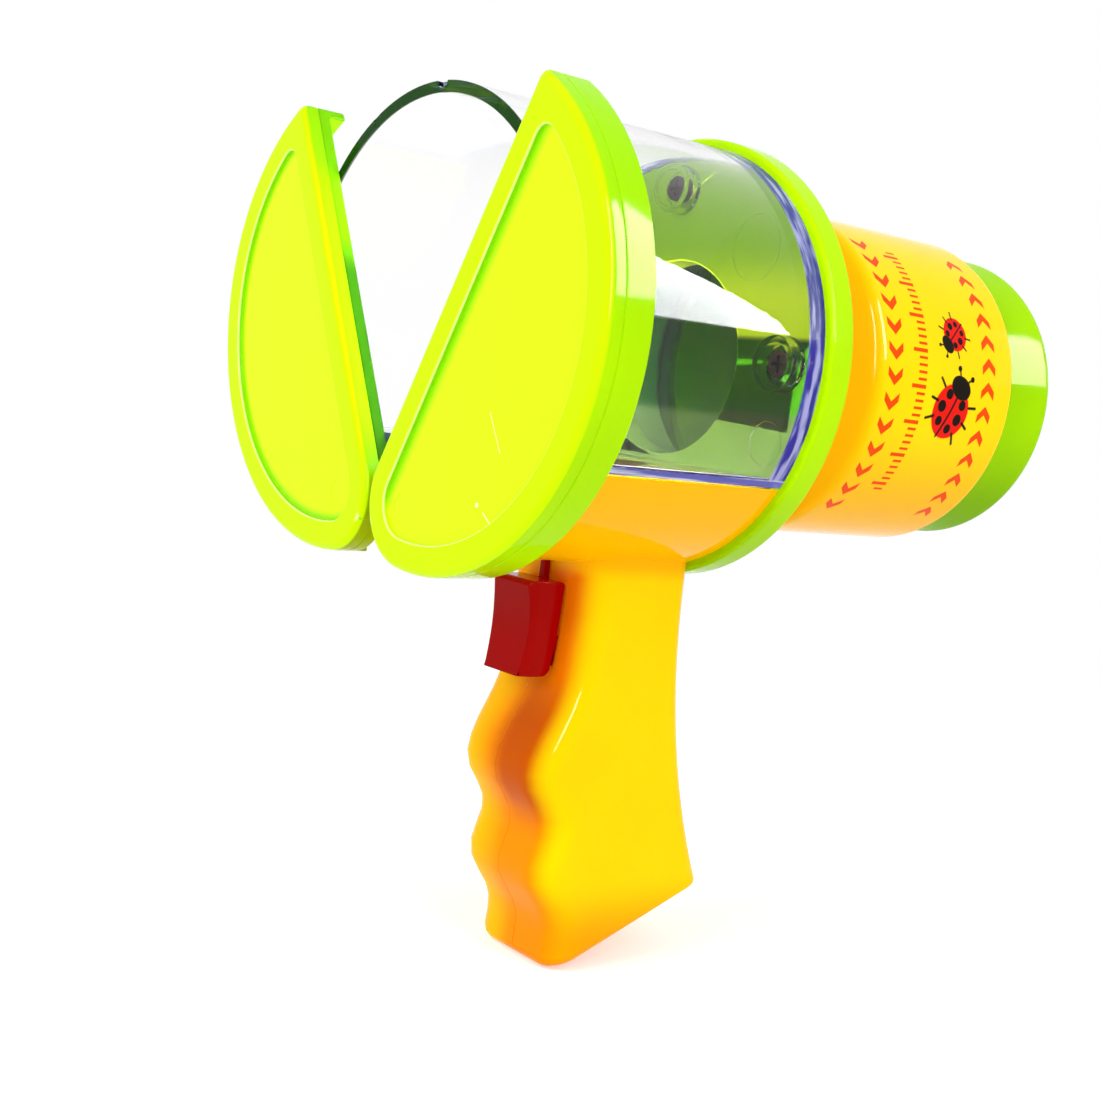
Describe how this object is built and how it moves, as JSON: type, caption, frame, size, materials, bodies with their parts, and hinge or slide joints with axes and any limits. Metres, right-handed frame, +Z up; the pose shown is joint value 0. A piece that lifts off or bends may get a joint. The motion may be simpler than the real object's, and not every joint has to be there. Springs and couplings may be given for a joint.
{
  "type": "bug catcher jar",
  "caption": "Pistol-grip bug catcher: a trigger swings half-round jaws over the mouth of a clear jar, which is looked into through a barrel with a magnifying eyepiece.",
  "frame": {"origin": "on the viewing axis, at the mouth of the eyepiece's bore", "axes": "+Z up, +Y along the viewing axis and out of the eyepiece, so the jaws face -Y; +X completes the right-handed frame"},
  "size_m": [0.1254, 0.1575, 0.1702],
  "materials": {
    "clear_plastic": "clear, glossy",
    "lens_plastic": "clear, polished",
    "lime_plastic": "glossy",
    "yellow_plastic": "glossy",
    "red_plastic": "glossy",
    "white_plastic": "satin",
    "screw_steel": "satin"
  },
  "bodies": {
    "housing": {"jar": "clear_plastic", "jar_screws": "screw_steel", "rear_collar": "lime_plastic", "frame_screws": "screw_steel", "body_right": "yellow_plastic", "body_left": "yellow_plastic", "body_screws": "screw_steel", "viewer_barrel": "yellow_plastic", "eyepiece": "lime_plastic", "lens": "lens_plastic", "lens_ring": "white_plastic", "return_spring": "screw_steel"},
    "trigger_slide": {"trigger": "red_plastic", "cam_slide": "white_plastic", "slide_screw": "screw_steel"},
    "right_jaw": {"jaw_right_cover": "lime_plastic", "jaw_right_rim": "lime_plastic", "jaw_right_axle": "screw_steel", "jaw_right_crank": "white_plastic", "jaw_right_screw": "screw_steel"},
    "left_jaw": {"jaw_left_cover": "lime_plastic", "jaw_left_rim": "lime_plastic", "jaw_left_axle": "screw_steel", "jaw_left_crank": "white_plastic", "jaw_left_screw": "screw_steel"}
  },
  "joints": [
    {"name": "trigger_slide", "type": "slide", "parent": "housing", "child": "trigger_slide", "axis": [0, 1, 0], "range_m": [-0.007, 0], "stiffness_N_per_m": 250, "springref_m": -0.013, "deforming": ["return_spring"]},
    {"name": "right_jaw_hinge", "type": "hinge", "parent": "housing", "child": "right_jaw", "pos_m": [0.01, -0.1478, -0.0329], "axis": [0, 1, 0], "range_deg": [-28.5, 0]},
    {"name": "left_jaw_hinge", "type": "hinge", "parent": "housing", "child": "left_jaw", "pos_m": [-0.01, -0.1478, -0.0329], "axis": [0, 1, 0], "range_deg": [0, 28.5]}
  ],
  "couplings": [
    {"joint": "right_jaw_hinge", "follows": "trigger_slide", "rad_per_m": 71.003},
    {"joint": "left_jaw_hinge", "follows": "trigger_slide", "rad_per_m": -71.003}
  ]
}
